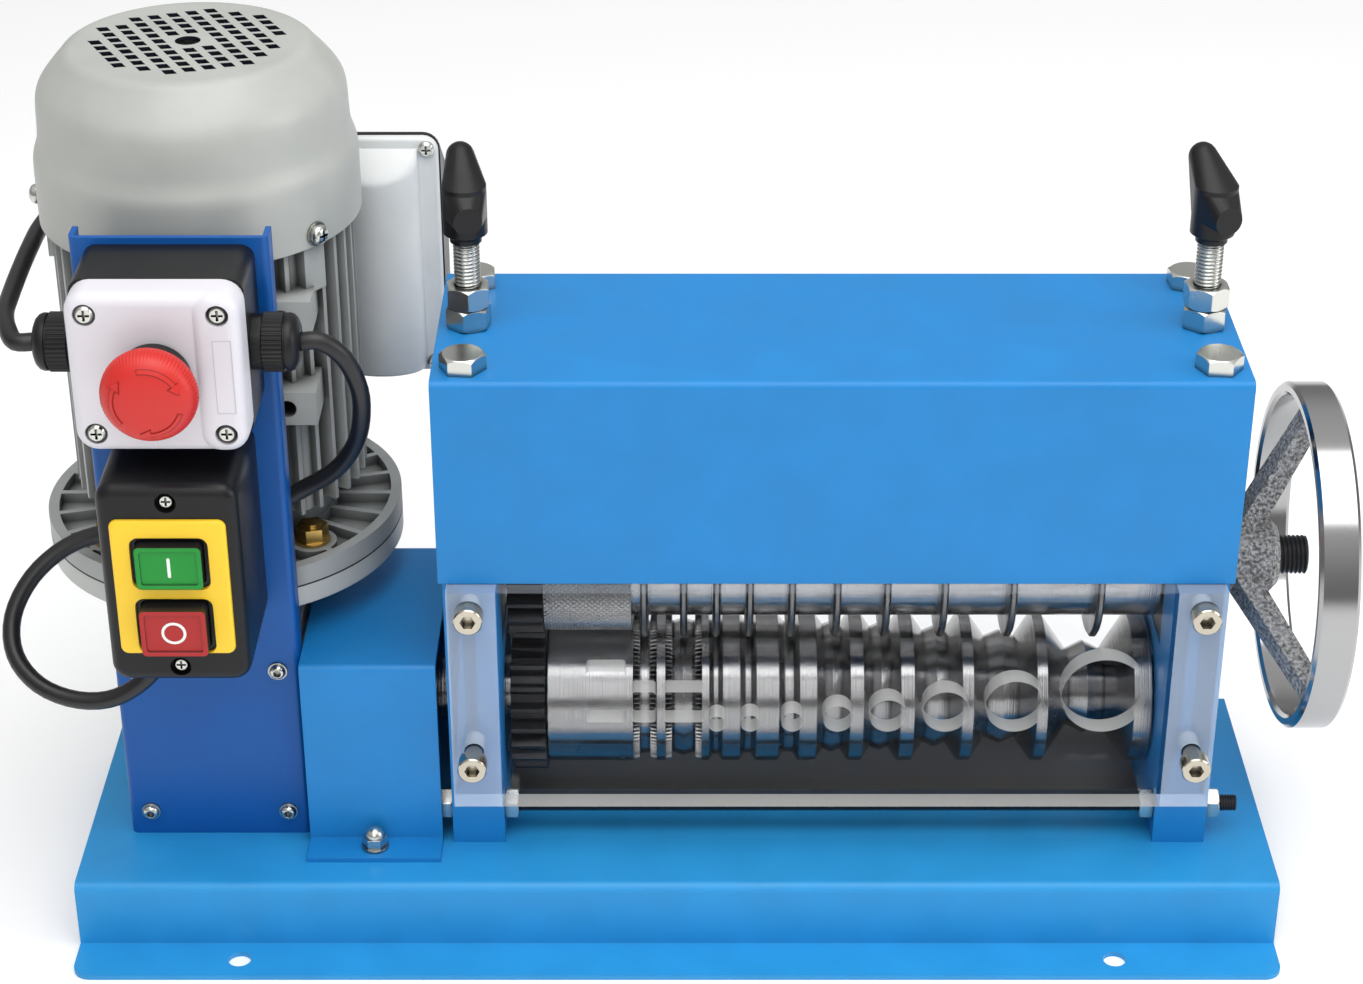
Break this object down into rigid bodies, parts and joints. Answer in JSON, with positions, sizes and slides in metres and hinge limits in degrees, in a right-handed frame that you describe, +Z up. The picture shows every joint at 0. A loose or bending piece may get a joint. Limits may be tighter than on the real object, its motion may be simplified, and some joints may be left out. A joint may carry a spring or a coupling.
{
  "type": "wire stripping machine",
  "caption": "Bench wire stripping machine: upright gear motor, grooved feed roller under a row of blades, acrylic feed window, handwheel and two blade adjusters.",
  "frame": {"origin": "centre of the four base bolt holes, on the underside of the base flanges", "axes": "+X right along the rollers to the handwheel, +Y to the back, +Z up"},
  "size_m": [0.6002, 0.2589, 0.393],
  "materials": {
    "blue_paint": "gloss powder coat",
    "column_paint": "gloss powder coat",
    "zinc": "bright zinc plate",
    "yellow_zinc": "yellow passivated zinc",
    "steel": "turned steel",
    "black_steel": "black oxide steel",
    "cast_light": "light grey painted casting",
    "cast_mid": "grey painted casting",
    "cast_iron": "cast, with a polished rim",
    "bronze": "bronze",
    "winding": "laminated core with varnished windings",
    "acrylic": "clear acrylic",
    "black_plastic": "moulded",
    "white_plastic": "moulded",
    "red_plastic": "moulded",
    "stop_red": "moulded",
    "green_plastic": "moulded",
    "yellow_plastic": "printed plate",
    "blue_plastic": "moulded fan",
    "cable": "black sheath"
  },
  "bodies": {
    "frame": {"base_channel": "blue_paint", "control_column": "column_paint", "column_screws": "zinc", "coupling_guard": "blue_paint", "guard_nuts": "zinc", "left_side_plate": "blue_paint", "right_side_plate": "blue_paint", "hood": "blue_paint", "hood_bolts": "zinc", "adjuster_nuts": "zinc", "safety_window": "acrylic", "window_screws": "zinc", "tie_rods": "black_steel", "tie_rod_nuts": "zinc", "chip_tray": "black_steel", "roller_bearings": "steel", "gearbox_housing": "cast_light", "motor_end_shield": "cast_light", "flange_nuts": "yellow_zinc", "motor_frame": "cast_mid", "stator": "winding", "fan_cowl": "cast_light", "cowl_screws": "zinc", "capacitor_box": "black_plastic", "capacitor_cover": "cast_light", "capacitor_screws": "zinc", "estop_back_box": "black_plastic", "estop_cover": "white_plastic", "estop_screws": "zinc", "estop_collar": "black_plastic", "cable_glands": "black_plastic", "switch_box": "black_plastic", "switch_plate": "yellow_plastic", "switch_screws": "zinc", "estop_motor_cable": "cable", "estop_switch_cable": "cable"},
    "roller": {"feed_roller": "steel", "lower_gear": "black_steel", "chain_coupling": "black_steel", "worm_wheel": "bronze"},
    "carriage": {"bearing_blocks": "black_steel"},
    "blades": {"blade_shaft": "steel", "stripping_blades": "steel", "blade_spacers": "steel", "knurled_roller": "steel", "upper_gear": "black_steel", "handwheel": "cast_iron"},
    "rotor": {"motor_rotor": "steel", "cooling_fan": "blue_plastic"},
    "left_adjuster": {"left_stud": "zinc", "left_knob": "black_plastic", "left_jam_nut": "zinc"},
    "right_adjuster": {"right_stud": "zinc", "right_knob": "black_plastic", "right_jam_nut": "zinc"},
    "estop_rod": {"estop_plunger": "black_plastic"},
    "estop_head": {"mushroom_head": "red_plastic"},
    "start": {"start_button": "green_plastic"},
    "stop": {"stop_button": "stop_red"}
  },
  "joints": [
    {"name": "roller_spin", "type": "hinge", "parent": "frame", "child": "roller", "pos_m": [0, 0.009, 0.086], "axis": [1, 0, 0], "continuous": true},
    {"name": "blade_lift", "type": "slide", "parent": "frame", "child": "carriage", "axis": [0, 0, 1], "range_m": [0, 0.004]},
    {"name": "blade_spin", "type": "hinge", "parent": "carriage", "child": "blades", "pos_m": [0, 0.009, 0.158], "axis": [1, 0, 0], "continuous": true},
    {"name": "rotor_spin", "type": "hinge", "parent": "frame", "child": "rotor", "pos_m": [-0.213, 0.049, 0], "axis": [0, 0, 1], "continuous": true},
    {"name": "left_adjust", "type": "hinge", "parent": "carriage", "child": "left_adjuster", "pos_m": [-0.092, 0.009, 0], "axis": [0, 0, 1], "range_deg": [0, 823]},
    {"name": "right_adjust", "type": "hinge", "parent": "carriage", "child": "right_adjuster", "pos_m": [0.233, 0.009, 0], "axis": [0, 0, 1], "range_deg": [0, 823]},
    {"name": "estop_press", "type": "slide", "parent": "frame", "child": "estop_rod", "axis": [0, 1, 0], "range_m": [0, 0.004], "stiffness_N_per_m": 800},
    {"name": "estop_twist", "type": "hinge", "parent": "estop_rod", "child": "estop_head", "pos_m": [-0.213, -0.11, 0.299], "axis": [0, 1, 0], "range_deg": [0, 45], "stiffness_Nm_per_rad": 0.05},
    {"name": "start_press", "type": "slide", "parent": "frame", "child": "start", "axis": [0, 1, 0], "range_m": [0, 0.003], "stiffness_N_per_m": 600},
    {"name": "stop_press", "type": "slide", "parent": "frame", "child": "stop", "axis": [0, 1, 0], "range_m": [0, 0.003], "stiffness_N_per_m": 600}
  ],
  "couplings": [
    {"joint": "blade_spin", "follows": "roller_spin", "ratio": -1},
    {"joint": "rotor_spin", "follows": "roller_spin", "ratio": 30},
    {"joint": "left_adjust", "follows": "blade_lift", "rad_per_m": 3590.4},
    {"joint": "right_adjust", "follows": "blade_lift", "rad_per_m": 3590.4}
  ]
}
